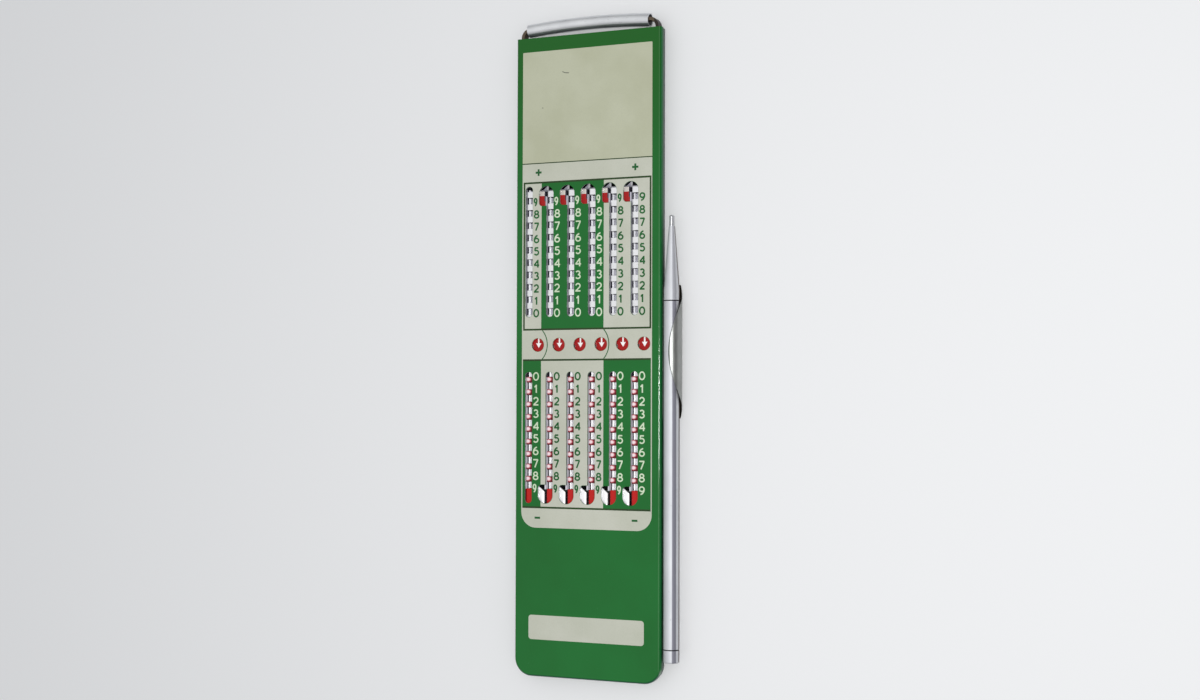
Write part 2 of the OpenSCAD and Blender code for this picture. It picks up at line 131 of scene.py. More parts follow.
def openings(grow):
    # every slot and window of the lid, as closed outlines
    upperFoot = upperZero - slotPlan["upperUnder"]
    upperLength = upperZero + slotPlan["topLevel"] * pitch + slotPlan["upperOver"] - upperFoot
    lowerFoot = lowerZero + slotPlan["lowerUnder"]
    lowerLength = lowerFoot - (lowerZero - slotPlan["topLevel"] * pitch - slotPlan["lowerOver"])
    windowR = slotPlan["windowDiameter"] / 2 + grow
    loops = []
    for i, x in enumerate(columnX):
        upperHook, lowerHook = (slotPlan["upperHook"], slotPlan["lowerHook"]) if i else (0, 0)
        loops.append(slotOutline(x + slotOffset, upperFoot, upperLength, upperHook, 1, grow))
        loops.append(slotOutline(x + slotOffset, lowerFoot, lowerLength, lowerHook, -1, grow))
        loops.append(arc(x + windowOffset, windowY, windowR, windowR, 0, 360, 49)[:-1])
    return loops


def addObject(name, data):
    item = bpy.data.objects.new(name, data)
    bpy.context.scene.collection.objects.link(item)
    return item


def bakedMesh(item):
    # what a curve or a modifier gives, as a plain mesh
    bpy.context.view_layer.update()
    return bpy.data.meshes.new_from_object(item.evaluated_get(bpy.context.evaluated_depsgraph_get()))


def cleanMesh(mesh):
    work = bmesh.new()
    work.from_mesh(mesh)
    bmesh.ops.remove_doubles(work, verts=work.verts, dist=1e-7)
    bmesh.ops.recalc_face_normals(work, faces=work.faces)
    work.to_mesh(mesh)
    work.free()


def flatSheet(name, loops, z0, z1):
    # closed outlines filled by the even-odd rule, and given a thickness from z0 to z1
    curve = bpy.data.curves.new(name, "CURVE")
    curve.dimensions = "2D"
    curve.fill_mode = "BOTH"
    curve.extrude = (z1 - z0) / 2 * mm
    for loop in loops:
        spline = curve.splines.new("POLY")
        spline.points.add(len(loop) - 1)
        points = np.zeros((len(loop), 4))
        points[:, :2] = np.asarray(loop) * mm
        points[:, 3] = 1
        spline.points.foreach_set("co", points.ravel())
        spline.use_cyclic_u = True
    source = addObject(name + "Curve", curve)
    mesh = bakedMesh(source)
    bpy.data.objects.remove(source)
    mesh.transform(Matrix.Translation((0, 0, (z0 + z1) / 2 * mm)))
    mesh.name = name
    cleanMesh(mesh)
    return addObject(name, mesh)


def cutWith(item, cutter):
    # takes cutter's shape out of item's mesh for good
    change = item.modifiers.new("cut", "BOOLEAN")
    change.operation = "DIFFERENCE"
    change.solver = "EXACT"
    change.object = cutter
    mesh = bakedMesh(item)
    item.modifiers.clear()
    item.data = mesh


def strokeArrays(path, closed, width, z0, z1):
    # a flat strip along a path: each point moved half the width to both sides along the path's normal,
    # at the top and at the bottom
    path = np.asarray(path, float)
    if closed:
        along = np.roll(path, -1, 0) - np.roll(path, 1, 0)
    else:
        along = np.gradient(path, axis=0)
    along /= np.linalg.norm(along, axis=1)[:, None]
    side = np.stack([-along[:, 1], along[:, 0]], 1) * width / 2
    left, right = path + side, path - side
    count = len(path)
    points = np.concatenate([
        np.c_[left, np.full(count, z1)], np.c_[right, np.full(count, z1)],
        np.c_[left, np.full(count, z0)], np.c_[right, np.full(count, z0)]])
    here = np.arange(count if closed else count - 1)
    there = (here + 1) % count
    a, b, c, d = 0, count, 2 * count, 3 * count
    quads = [np.stack([b + here, b + there, a + there, a + here], 1),
             np.stack([c + here, c + there, d + there, d + here], 1),
             np.stack([a + here, a + there, c + there, c + here], 1),
             np.stack([d + here, d + there, b + there, b + here], 1)]
    if not closed:
        last = count - 1
        quads.append(np.array([[a, c, d, b], [b + last, d + last, c + last, a + last]]))
    return points, np.concatenate(quads)


def strokeSheet(name, strokes, width, z0, z1):
    # all the strokes of one print as one mesh
    # neighbours in the list differ a little in height, so that crossing strokes don't share a face
    layer = 0.0015
    points, faces, start = [], [], 0
    for i, (path, closed) in enumerate(strokes):
        p, f = strokeArrays(path, closed, width, z0, z1 + layer * (i % 3))
        points.append(p)
        faces.append(f + start)
        start += len(p)
    mesh = bpy.data.meshes.new(name)
    mesh.from_pydata((np.concatenate(points) * mm).tolist(), [], np.concatenate(faces).tolist())
    cleanMesh(mesh)
    return addObject(name, mesh)


def digitStrokes(digit, x, y, height, width):
    # centre lines of one figure, drawn 1 high and 0.74 wide about its middle and then scaled to its size
    bowl = (arc(0, -0.2, 0.34, 0.3, 0, 360, 33)[:-1], True)
    stem = (arc(0.25, -0.2, 0.59, 0.7, 96, 180, 16), False)
    shapes = {
        0: [(arc(0, 0, 0.37, 0.5, 0, 360, 41)[:-1], True)],
        1: [([[-0.2, 0.22], [0.06, 0.48]], False), ([[0.06, 0.56], [0.06, -0.56]], False)],
        2: [(np.concatenate([arc(0, 0.2, 0.31, 0.3, 168, -38, 20), [[-0.3, -0.47]]]), False),
            ([[-0.38, -0.5], [0.38, -0.5]], False)],
        3: [(arc(-0.01, 0.26, 0.27, 0.24, 155, -90, 20), False),
            (arc(-0.01, -0.24, 0.33, 0.26, 90, -155, 20), False)],
        4: [([[0.26, 0.5], [-0.34, -0.2]], False), ([[-0.38, -0.22], [0.46, -0.22]], False),
            ([[0.24, 0.56], [0.24, -0.56]], False)],
        5: [([[-0.24, 0.5], [0.3, 0.5]], False), ([[-0.2, 0.5], [-0.25, 0.08]], False),
            (arc(-0.01, -0.18, 0.34, 0.32, 132, -150, 24), False)],
        6: [bowl, stem],
        7: [([[-0.36, 0.5], [0.36, 0.5]], False), ([[0.32, 0.5], [-0.12, -0.56]], False)],
        8: [(arc(0, 0.26, 0.27, 0.24, 0, 360, 33)[:-1], True),
            (arc(0, -0.24, 0.34, 0.26, 0, 360, 33)[:-1], True)],
        9: [(-bowl[0], True), (-stem[0], False)],
    }
    size = [width / 0.74, height]
    return [(np.asarray(path) * size + [x, y], closed) for path, closed in shapes[digit]]


def newGroup(name, inputs, outputs):
    # an empty node group; inputs and outputs give each socket's label and kind
    group = bpy.data.node_groups.new(name, "ShaderNodeTree")
    for direction, sockets in (("INPUT", inputs), ("OUTPUT", outputs)):
        for label, kind in sockets.items():
            group.interface.new_socket(name=label, in_out=direction, socket_type=kind)
    return group, group.nodes.new("NodeGroupInput"), group.nodes.new("NodeGroupOutput")


def addNode(tree, kind, links, **values):
    # a node with its settings and input values; links maps an input to the output that feeds it
    node = tree.nodes.new(kind)
    for key, value in values.items():
        if hasattr(node, key):
            setattr(node, key, value)
        else:
            node.inputs[key].default_value = value
    for key, output in links.items():
        tree.links.new(output, node.inputs[key])
    return node


def mathNode(tree, kind, *values):
    # each value is a number or the output of another node
    node = tree.nodes.new("ShaderNodeMath")
    node.operation = kind
    for socket, value in zip(node.inputs, values):
        if isinstance(value, (int, float)):
            socket.default_value = value
        else:
            tree.links.new(value, socket)
    return node.outputs[0]


def operation(kind):
    # a short call for a math node with two inputs
    return lambda tree, a, b: mathNode(tree, kind, a, b)


times, plus, minus, over = [operation(kind) for kind in ("MULTIPLY", "ADD", "SUBTRACT", "DIVIDE")]
lessThan, moreThan, larger = [operation(kind) for kind in ("LESS_THAN", "GREATER_THAN", "MAXIMUM")]


def invert(tree, mask):
    return minus(tree, 1.0, mask)


def step(tree, value, low, high):
    # 0 below low, 1 above high, straight between
    node = tree.nodes.new("ShaderNodeMapRange")
    tree.links.new(value, node.inputs["Value"])
    node.inputs["From Min"].default_value = low
    node.inputs["From Max"].default_value = high
    return node.outputs[0]


def inBand(tree, value, low, high, edge):
    # 1 between low and high, 0 outside, straight over the edge on both sides
    rise = step(tree, value, low - edge, low)
    fall = step(tree, value, high, high + edge)
    return times(tree, rise, invert(tree, fall))


def placeParts(tree, place):
    # object coordinates in millimetres, one by one
    axes = addNode(tree, "ShaderNodeSeparateXYZ", {0: place})
    return [over(tree, axes.outputs[i], mm) for i in range(3)]


def dotWith(tree, vector, direction):
    # how far a vector points in a fixed direction
    node = addNode(tree, "ShaderNodeVectorMath", {0: vector}, operation="DOT_PRODUCT")
    node.inputs[1].default_value = direction
    return node.outputs["Value"]


def mixColour(tree, factor, a, b, blend="MIX"):
    node = tree.nodes.new("ShaderNodeMix")
    node.data_type = "RGBA"
    node.blend_type = blend
    if isinstance(factor, (int, float)):
        node.inputs["Factor"].default_value = factor
    else:
        tree.links.new(factor, node.inputs["Factor"])
    sockets = [socket for socket in node.inputs if socket.type == "RGBA"]
    for socket, value in zip(sockets, (a, b)):
        if isinstance(value, (tuple, list)):
            socket.default_value = (*value, 1)
        else:
            tree.links.new(value, socket)
    return next(socket for socket in node.outputs if socket.type == "RGBA")


def srgb(r, g, b):
    # screen values 0 to 255 as linear light
    return tuple(((v / 255 + 0.055) / 1.055) ** 2.4 if v > 10 else v / 255 / 12.92 for v in (r, g, b))


# Wear that every finish shares: each noise with its settings, and where its marks begin and end.
# The scratches are long in y, a little turned, and bent by a soft noise.
wearLook = {
    "blotch": {"Detail": 4.0, "Roughness": 0.55},
    "speck": {"Detail": 2.0, "Roughness": 0.6},
    "speckFrom": (0.68, 0.78),
    "bend": {"Scale": 35.0, "Detail": 1.0},
    "scratch": {"Detail": 1.0},
    "scratchTurn": (0, 0, 0.35),
    "scratchStretch": (4.0, 0.12, 4.0),
    "scratchFrom": (0.72, 0.8),
}


def makeWearGroup():
    # soft blotches, fine specks and hairline scratches, each from 0 to 1
    number = "NodeSocketFloat"
    group, start, end = newGroup(
        "surfaceWear",
        {"Vector": "NodeSocketVector", "Blotch Scale": number, "Speck Scale": number,
         "Scratch Scale": number},
        {"Blotch": number, "Speck": number, "Scratch": number})
    vector = start.outputs["Vector"]
    blotch = addNode(group, "ShaderNodeTexNoise",
                     {"Vector": vector, "Scale": start.outputs["Blotch Scale"]}, **wearLook["blotch"])
    speck = addNode(group, "ShaderNodeTexNoise",
                    {"Vector": vector, "Scale": start.outputs["Speck Scale"]}, **wearLook["speck"])
    bend = addNode(group, "ShaderNodeTexNoise", {"Vector": vector}, **wearLook["bend"]).outputs["Color"]
    bent = addNode(group, "ShaderNodeVectorMath", {0: bend, 1: bend, 2: vector}, operation="MULTIPLY_ADD")
    stretch = addNode(group, "ShaderNodeMapping", {"Vector": bent.outputs[0]},
                      Rotation=wearLook["scratchTurn"], Scale=wearLook["scratchStretch"])
    scratch = addNode(group, "ShaderNodeTexNoise",
                      {"Vector": stretch.outputs[0], "Scale": start.outputs["Scratch Scale"]},
                      **wearLook["scratch"])
    group.links.new(blotch.outputs["Fac"], end.inputs["Blotch"])
    group.links.new(step(group, speck.outputs["Fac"], *wearLook["speckFrom"]), end.inputs["Speck"])
    group.links.new(step(group, scratch.outputs["Fac"], *wearLook["scratchFrom"]), end.inputs["Scratch"])
    return group


wearGroup = makeWearGroup()


def newMaterial(name):
    material = bpy.data.materials.new(name)
    material.use_nodes = True
    tree = material.node_tree
    shader = tree.nodes["Principled BSDF"]
    place = tree.nodes.new("ShaderNodeTexCoord").outputs["Object"]
    return material, tree, shader, place


def surfaceNormal(tree):
    return tree.nodes["Texture Coordinate"].outputs["Normal"]


def wearNode(tree, place, scales):
    # the shared wear with its own scales for blotches, specks and scratches
    node = tree.nodes.new("ShaderNodeGroup")
    node.node_tree = wearGroup
    tree.links.new(place, node.inputs["Vector"])
    for label, scale in zip(("Blotch", "Speck", "Scratch"), scales):
        node.inputs[label + " Scale"].default_value = scale
    return node.outputs


def feed(tree, shader, outputs):
    # links each output to the shader's socket of that name
    for label, output in outputs.items():
        tree.links.new(output, shader.inputs[label])


# The lid's green lacquer. Lengths are in millimetres, and a pair is where a change begins and ends.
lacquer = {
    "green": srgb(6, 104, 36),
    "deep": srgb(3, 97, 30),
    "speck": srgb(46, 122, 66),
    "wear": (45.0, 1400.0, 260.0),
    "cloud": (0.35, 0.65),
    "speckShare": 0.3,
    "top": srgb(4, 89, 12),             # painted shade: towards the top edge the green is deeper and yellower
    "topFrom": (34.0, 72.0),
    "edgeSteel": srgb(172, 174, 176),   # where the punch has cut through the lacquer
    "edgeMetallic": 0.5,
    "edgeDepth": 0.035,
    "edgeX": (-17.6, 17.6),
    "edgeY": (-50.0, 50.0),
    # a painted highlight on the cut edge round each window
    "windowGlint": srgb(252, 246, 242),
    "windowRedReflection": srgb(112, 30, 24),    # a painted reflection of the red below
    "windowHalf": 2.0,
    "footDepth": 0.2,
    "wall": srgb(20, 92, 46),           # the turned-down side in its own shade
    "wallX": 0.12,
    "wallCoat": 0.06,
    "lower": srgb(8, 66, 46),           # painted shade on the bend along the bottom, by how far it turns down
    "lowerTurn": (-0.15, -0.6),
    "lowerY": -70.0,
    "bendX": 0.6,
    "bendCoat": 1.0,
    "edge": 0.1,
    "roughness": 0.34,
    "cloudRough": 0.12,
    "scratchRough": 0.15,
    "specular": 0.1,
    "coat": 0.42,
    "coatRoughness": 0.08,
    "peel": 0.35,
    "peelScale": 520.0,
    "peelDepth": 0.00004,
}


def makeLacquer():
    # soft clouds and fine specks in the green, orange peel in the gloss, bare steel at the cut edges,
    # painted shade at the top, the bottom bend and the side, and a painted highlight and reflection at
    # the windows
    look = lacquer
    material, tree, shader, place = newMaterial("greenLacquer")
    wear = wearNode(tree, place, look["wear"])
    x, y, z = placeParts(tree, place)
    colour = mixColour(tree, step(tree, wear["Blotch"], *look["cloud"]), look["deep"], look["green"])
    colour = mixColour(tree, times(tree, wear["Speck"], look["speckShare"]), colour, look["speck"])
    # painted shade: the green turns deeper and yellower towards the top edge
    colour = mixColour(tree, step(tree, y, *look["topFrom"]), colour, look["top"])
    # painted shade on the bend along the bottom, where it turns down
    normalY = addNode(tree, "ShaderNodeSeparateXYZ", {0: surfaceNormal(tree)}).outputs[1]
    lower = times(tree, step(tree, normalY, *look["lowerTurn"]), lessThan(tree, y, look["lowerY"]))
    colour = mixColour(tree, lower, colour, look["lower"])
    wall = moreThan(tree, x, lidHigh[0] - look["wallX"])
    colour = mixColour(tree, wall, colour, look["wall"])
    inside = times(tree, inBand(tree, x, *look["edgeX"], look["edge"]),
                   inBand(tree, y, *look["edgeY"], look["edge"]))
    bare = times(tree, lessThan(tree, z, faceZ - look["edgeDepth"]), inside)
    # the windows' cut edges: a painted highlight, and lower down a painted reflection of the red below
    window = inBand(tree, y, windowY - look["windowHalf"], windowY + look["windowHalf"], look["edge"])
    steel = mixColour(tree, window, look["edgeSteel"], look["windowGlint"])
    red = times(tree, window, lessThan(tree, z, faceZ - look["footDepth"]))
    steel = mixColour(tree, red, steel, look["windowRedReflection"])
    bendFrom = lidHigh[0] - look["bendX"]
    bend = step(tree, x, bendFrom, bendFrom + look["edge"])
    coat = plus(tree, times(tree, bend, look["bendCoat"] - look["coat"]), look["coat"])
    coat = plus(tree, coat, times(tree, wall, look["wallCoat"] - look["bendCoat"]))
    rough = plus(tree, times(tree, wear["Blotch"], look["cloudRough"]),
                 look["roughness"] - look["cloudRough"] / 2)
    rough = plus(tree, rough, times(tree, wear["Scratch"], look["scratchRough"]))
    peel = addNode(tree, "ShaderNodeTexNoise", {"Vector": place}, Scale=look["peelScale"], Detail=2.0)
    bump = addNode(tree, "ShaderNodeBump", {"Height": peel.outputs["Fac"]}, Strength=look["peel"],
                   Distance=look["peelDepth"]).outputs[0]
    feed(tree, shader, {"Base Color": mixColour(tree, bare, colour, steel), "Coat Weight": coat,
                        "Metallic": times(tree, bare, look["edgeMetallic"]), "Roughness": rough,
                        "Normal": bump, "Coat Normal": bump})
    shader.inputs["Specular IOR Level"].default_value = look["specular"]
    shader.inputs["Coat Roughness"].default_value = look["coatRoughness"]
    return material


# Each ink has its light and dark tone and its roughness. Cream is duller on the note field at the top.
inks = {
    "cream": (srgb(197, 198, 184), srgb(188, 190, 174), 0.5),
    "figure": (srgb(210, 224, 196), srgb(198, 214, 182), 0.45),
    "green": (srgb(38, 100, 52), srgb(28, 86, 42), 0.4),
    "line": (srgb(44, 68, 34), srgb(36, 58, 28), 0.4),
    "black": (srgb(34, 34, 36), srgb(24, 24, 26), 0.4),
    "white": (srgb(255, 253, 251), srgb(248, 246, 243), 0.35),
    "pencil": (srgb(98, 100, 92), srgb(74, 76, 70), 0.6),
}
noteTone = {"light": srgb(188, 190, 166), "dark": srgb(180, 182, 156), "from": 48.9}
inkLook = {"wear": (90.0, 1500.0, 300.0), "cloud": (0.35, 0.65), "cloudRough": 0.1, "specular": 0.2,
           "grainScale": 2600.0, "grainFrom": (0.5, 0.75), "grainShare": 0.2, "grainShade": 0.75}


def makeInk(name):
    # soft clouds between the two tones, and a fine grain of a darker one
    light, dark, roughness = inks[name]
    look = inkLook
    material, tree, shader, place = newMaterial(name + "Ink")
    wear = wearNode(tree, place, look["wear"])
    cloud = step(tree, wear["Blotch"], *look["cloud"])
    colour = mixColour(tree, cloud, dark, light)
    if name == "cream":
        onNote = moreThan(tree, placeParts(tree, place)[1], noteTone["from"])
        note = mixColour(tree, cloud, noteTone["dark"], noteTone["light"])
        colour = mixColour(tree, onNote, colour, note)
    noise = addNode(tree, "ShaderNodeTexNoise", {"Vector": place}, Scale=look["grainScale"], Detail=2.0)
    grain = times(tree, step(tree, noise.outputs["Fac"], *look["grainFrom"]), look["grainShare"])
    colour = mixColour(tree, grain, colour, tuple(look["grainShade"] * v for v in dark))
    rough = plus(tree, times(tree, wear["Blotch"], look["cloudRough"]), roughness)
    feed(tree, shader, {"Base Color": colour, "Roughness": rough})
    shader.inputs["Specular IOR Level"].default_value = look["specular"]
    return material


# Each bare metal has its two tones, how metallic and rough it is, the stretch of its drawn grain, and
# how strongly its specks and its bump show. The guide plate has a bump of its own.
metals = {
    "sliderMetal": {"light": srgb(236, 236, 237), "dark": srgb(224, 224, 226), "metallic": 0.4,
                    "roughness": 0.36, "grain": (1.0, 0.05, 1.0), "speck": 0.1, "bump": 0.03},
    "guideMetal": {"light": srgb(206, 206, 210), "dark": srgb(186, 186, 192), "metallic": 0.55,
                   "roughness": 0.5, "grain": (1.0, 0.05, 1.0), "speck": 0.15},
    "trayMetal": {"light": srgb(110, 122, 116), "dark": srgb(90, 102, 96), "metallic": 0.95,
                  "roughness": 0.45, "grain": (1.0, 0.04, 1.0), "speck": 0.4, "bump": 0.1},
    "tubeMetal": {"light": srgb(222, 224, 226), "dark": srgb(196, 198, 202), "metallic": 0.92,
                  "roughness": 0.3, "grain": (0.05, 1.0, 1.0), "speck": 0.4, "bump": 0.12},
    "stylusMetal": {"light": srgb(214, 216, 219), "dark": srgb(200, 202, 206), "metallic": 0.8,
                    "roughness": 0.66, "grain": (1.0, 0.04, 1.0), "speck": 0.3, "bump": 0.08},
    "tipSteel": {"light": srgb(210, 211, 213), "dark": srgb(178, 179, 183), "metallic": 0.95,
                 "roughness": 0.28, "grain": (1.0, 0.1, 1.0), "speck": 0.4, "bump": 0.1},
    "clipSteel": {"light": srgb(160, 162, 160), "dark": srgb(134, 137, 133), "metallic": 0.85,
                  "roughness": 0.38, "grain": (1.0, 0.1, 1.0), "speck": 0.5, "bump": 0.1},
    "stripSteel": {"light": srgb(116, 103, 87), "dark": srgb(70, 60, 50), "metallic": 0.8,
                   "roughness": 0.42, "grain": (1.0, 0.08, 1.0), "speck": 0.5, "bump": 0.12},
}
metalLook = {"wear": (120.0, 1300.0, 400.0), "grainScale": 3500.0, "blotchShare": 0.7, "grainShare": 0.3,
             "toneFrom": (0.3, 0.7), "speckShade": 0.4, "grainRough": 0.16, "scratchRough": 0.12,
             "bumpDepth": 0.00005}


def metalParts(name):
    # bare metal: drawn grain along one axis, soft blotches, dark specks and hairline scratches
    look = metals[name]
    material, tree, shader, place = newMaterial(name)
    wear = wearNode(tree, place, metalLook["wear"])
    stretch = addNode(tree, "ShaderNodeMapping", {"Vector": place}, Scale=look["grain"])
    grain = addNode(tree, "ShaderNodeTexNoise", {"Vector": stretch.outputs[0]},
                    Scale=metalLook["grainScale"], Detail=3.0).outputs["Fac"]
    tone = plus(tree, times(tree, wear["Blotch"], metalLook["blotchShare"]),
                times(tree, grain, metalLook["grainShare"]))
    colour = mixColour(tree, step(tree, tone, *metalLook["toneFrom"]), look["dark"], look["light"])
    colour = mixColour(tree, times(tree, wear["Speck"], look["speck"]), colour,
                       tuple(metalLook["speckShade"] * v for v in look["dark"]))
    rough = plus(tree, times(tree, grain, metalLook["grainRough"]),
                 look["roughness"] - metalLook["grainRough"] / 2)
    rough = plus(tree, rough, times(tree, wear["Scratch"], metalLook["scratchRough"]))
    shader.inputs["Metallic"].default_value = look["metallic"]
    tree.links.new(rough, shader.inputs["Roughness"])
    if "bump" in look:
        bump = addNode(tree, "ShaderNodeBump", {"Height": grain}, Strength=look["bump"],
                       Distance=metalLook["bumpDepth"])
        tree.links.new(bump.outputs[0], shader.inputs["Normal"])
    return material, tree, shader, place, colour, rough


def makeMetal(name):
    material, tree, shader, _, colour, _ = metalParts(name)
    tree.links.new(colour, shader.inputs["Base Color"])
    return material


# The guide plate, by height in each bank, with light and shade painted into its colour. A band of a wall
# has its lowest and highest place, its tone, a painted shade or a painted highlight, and its lean: the
# slope at which the rounded foot of the fold turns the metal to face the front. Places across are
# measured from the middle of their column.
guideLightAndShade = {
    "middle": 3.0,                              # where the upper bank begins
    "upper": [(1.0, 2.15, srgb(226, 226, 231), 1.9), (2.15, 3.0, srgb(92, 92, 106), 0.3),
              (3.0, 9.0, srgb(206, 204, 214), 0.6)],
    "lower": [(0.95, 1.78, srgb(252, 251, 252), 2.6), (1.78, 2.45, srgb(152, 144, 158), 0.5),
              (2.45, 9.0, srgb(230, 226, 234), 1.1)],
    # the floors' tones are painted light: the lower floor is painted brighter than the upper
    "upperFloor": srgb(206, 206, 214),
    "lowerFloor": srgb(248, 247, 248),
    "edge": 0.1,
    "blend": 0.7,                               # how far the metal's own grain fades
    "deep": srgb(26, 26, 28),                   # painted black shade under the arches, at the hooks and at the foot
    "deepMetallic": 0.4,                        # this much more than the rest
    "archFrom": upperZero + 9.95 * pitch,
    "hookBelow": lowerZero - 8.65 * pitch,
    "hookX": (-1.7, 2.1),
    "footBelow": lowerZero - 9.63 * pitch,
    "light": srgb(206, 203, 218),               # the wedge of light in each arch
    "lightX": (-0.1, 2.1),
    "lightTop": upperZero + 10 * pitch + 0.9,
    "lightFall": (1.75, 0.91),                  # where its top edge bends down, and how steeply
    # a painted highlight: a white streak down the wedge of light
    "stalk": srgb(255, 255, 255),
    "stalkX": (1.66, 2.04),
    "stalkEdge": 0.08,
    "cap": srgb(54, 52, 60),                    # painted shade on the top of the walls above the lower bank's 0
    "capFrom": lowerZero - 0.9,
    "capHeight": 1.78,
    "capEdge": 0.05,
}


def bankLightAndShade(tree, z, bank):
    # the painted light and shade of one bank, and the height of the bump that leans its walls
    tone, height = guideLightAndShade[bank + "Floor"], None
    for low, high, bandTone, lean in guideLightAndShade[bank]:
        tone = mixColour(tree, inBand(tree, z, low, high, guideLightAndShade["edge"]), tone, bandTone)
        high = min(high, faceZ)
        drop = times(tree, step(tree, z, low, high), -lean * (high - low))
        height = drop if height is None else plus(tree, height, drop)
    return tone, height


def makeGuideMetal():
    # the painted light and shade of both banks, painted black where no light falls, and a painted wedge
    # of light with a painted highlight stalk in each arch
    look = guideLightAndShade
    material, tree, shader, place, colour, _ = metalParts("guideMetal")
    x, y, z = placeParts(tree, place)
    # how far a point lies from the middle of its own column
    turns = plus(tree, over(tree, minus(tree, x, columnX[0]), column), 0.5)
    aside = times(tree, minus(tree, mathNode(tree, "FRACT", turns), 0.5), column)
    upperBank = moreThan(tree, y, look["middle"])
    upperTone, upperHeight = bankLightAndShade(tree, z, "upper")
    lowerTone, lowerHeight = bankLightAndShade(tree, z, "lower")
    tone = mixColour(tree, upperBank, lowerTone, upperTone)
    bendX, fall = look["lightFall"]
    roof = times(tree, larger(tree, minus(tree, bendX, aside), 0.0), fall)
    under = lessThan(tree, plus(tree, y, roof), look["lightTop"])
    wedge = times(tree, under, inBand(tree, aside, *look["lightX"], look["edge"]))
    arch = moreThan(tree, y, look["archFrom"])
    hook = times(tree, lessThan(tree, y, look["hookBelow"]),
                 inBand(tree, aside, *look["hookX"], look["edge"]))
    foot = larger(tree, lessThan(tree, y, look["footBelow"]), hook)
    # painted black shade under the arches, at the hooks and at the foot
    deep = larger(tree, times(tree, arch, invert(tree, wedge)), foot)
    lit = times(tree, arch, wedge)
    # a painted highlight stalk in the wedge of light
    stalk = times(tree, lit, inBand(tree, aside, *look["stalkX"], look["stalkEdge"]))
    # painted shade on the tops of the walls above the lower bank's 0
    cap = times(tree, inBand(tree, y, look["capFrom"], look["middle"], look["capEdge"]),
                moreThan(tree, z, look["capHeight"]))
    for mask, name in ((lit, "light"), (cap, "cap"), (deep, "deep"), (stalk, "stalk")):
        tone = mixColour(tree, mask, tone, look[name])
    faded = mixColour(tree, look["blend"], colour, (1.0, 1.0, 1.0))
    plain = metals["guideMetal"]["metallic"]
    metallic = plus(tree, times(tree, deep, look["deepMetallic"]), plain)
    height = plus(tree, times(tree, upperHeight, upperBank),
                  times(tree, lowerHeight, invert(tree, upperBank)))
    bump = addNode(tree, "ShaderNodeBump", {"Height": height}, Strength=1.0, Distance=mm)
    feed(tree, shader, {"Base Color": mixColour(tree, 1.0, tone, faded, "MULTIPLY"),
                        "Metallic": minus(tree, metallic, times(tree, lit, plain)),
                        "Normal": bump.outputs[0]})
    return material


# The stylus: dark seams where its pieces meet, a painted shade on the underside between two heights given
# as shares of the radius, and a painted reflection, a darker stripe along the right side, fainter on the
# nose.
# The stripe goes by how far the surface turns across, and stripe and underside are on the half that faces
# the front.
stylusTones = {
    "seam": srgb(52, 52, 54),
    "seamHalf": 0.11,
    "seamEdge": 0.04,
    # painted shade on the underside
    "under": srgb(112, 102, 98),
    "underFrom": (-0.02, 0.16),
    # a painted reflection of a dark part of the room
    "reflectionStripe": srgb(138, 138, 148),
    "across": (0.906, 0.0, -0.423),
    "reflectionStripeFrom": (0.08, 0.52),
    "reflectionStripeEdge": 0.08,
    "noseShare": 0.5,
    "front": (0.423, 0.0, 0.906),
    "frontFrom": (-0.3, -0.1),
}


def makeStylusMetal():
    look = stylusTones
    material, tree, shader, place, colour, _ = metalParts("stylusMetal")
    y, z = placeParts(tree, place)[1:]
    low, high = nodeBox("stylus_barrel")
    middle, radius = (low[2] + high[2]) / 2, (high[2] - low[2]) / 2
    normal = surfaceNormal(tree)
    front = step(tree, dotWith(tree, normal, look["front"]), *look["frontFrom"])
    # a painted reflection: the darker stripe where the surface turns across
    band = inBand(tree, dotWith(tree, normal, look["across"]), *look["reflectionStripeFrom"], look["reflectionStripeEdge"])
    onNose = moreThan(tree, y, high[1])
    share = invert(tree, times(tree, onNose, 1 - look["noseShare"]))
    reflectionStripe = times(tree, front, times(tree, share, band))
    # painted shade on the underside of the half that faces the front
    below = invert(tree, step(tree, z, *[middle + part * radius for part in look["underFrom"]]))
    under = times(tree, front, below)
    seam = larger(tree, *[inBand(tree, y, at - look["seamHalf"], at + look["seamHalf"], look["seamEdge"])
                          for at in (low[1], high[1])])
    for mask, name in ((reflectionStripe, "reflectionStripe"), (under, "under"), (seam, "seam")):
        colour = mixColour(tree, mask, colour, look[name])
    tree.links.new(colour, shader.inputs["Base Color"])
    return material


# The legs' bends outside the case, as shares of their width from the outer edge inwards: the left one
# has a painted highlight, a streak of light, and painted black shade inside; the right one has a dark
# outer edge.
legTones = {"from": -1.0, "edge": 0.04, "streak": srgb(214, 208, 198), "streakX": (0.42, 0.6),
            "inner": srgb(16, 15, 13), "innerX": (0.6, 1.5),
            "rim": srgb(50, 45, 40), "rimX": (-0.1, 0.2), "rimEdge": 0.05}


def makeStripSteel():
    look = legTones
    material, tree, shader, place, colour, _ = metalParts("stripSteel")
    x, y = placeParts(tree, place)[:2]
    leftEdge = nodeBox("clearing_leg_left")[0][0]
    rightLow, rightHigh = nodeBox("clearing_leg_right")
    width = rightHigh[0] - rightLow[0]
    outside = moreThan(tree, y, lidHigh[1] + look["from"])
    left = over(tree, minus(tree, x, leftEdge), width)
    right = over(tree, minus(tree, rightHigh[0], x), width)
    # a painted highlight streak and painted black shade on the left leg's bend
    for name, across in (("rim", right), ("streak", left), ("inner", left)):
        edge = look["rimEdge" if name == "rim" else "edge"]
        mask = times(tree, outside, inBand(tree, across, *look[name + "X"], edge))
        colour = mixColour(tree, mask, colour, look[name])
    tree.links.new(colour, shader.inputs["Base Color"])
    return material


